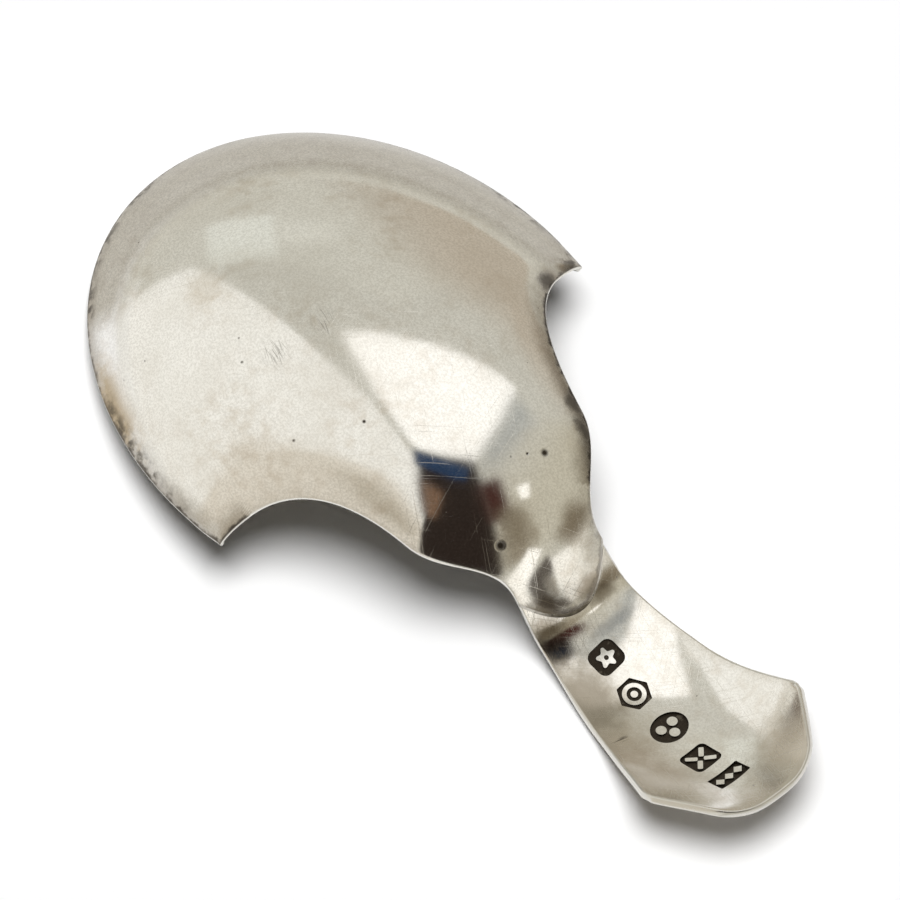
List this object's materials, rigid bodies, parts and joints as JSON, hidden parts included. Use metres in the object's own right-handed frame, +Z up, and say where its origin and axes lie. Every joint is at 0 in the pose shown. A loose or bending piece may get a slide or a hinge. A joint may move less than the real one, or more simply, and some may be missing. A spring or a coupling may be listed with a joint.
{
  "type": "caddy spoon",
  "caption": "Sheet silver caddy spoon lying back up: round bowl with side cusps and concave bites, soldered narrow neck, short flared handle with a clipped end.",
  "frame": {"origin": "middle of the bounding box's base, on the surface that the spoon lies on", "axes": "+X from the bowl's front tip to the end of the handle, +Y across the spoon, +Z up out of the back of the bowl"},
  "size_m": [0.07, 0.0356, 0.0133],
  "materials": {
    "bowl_silver": "worn hand polish with light tarnish along the rim",
    "handle_silver": "worn hand polish with fine scratches and blackened punch marks",
    "solder": "dull silver solder, slightly greyer than the sheet"
  },
  "bodies": {
    "root": {"bowl": "bowl_silver", "handle": "handle_silver", "solder_seam": "solder"}
  },
  "joints": []
}
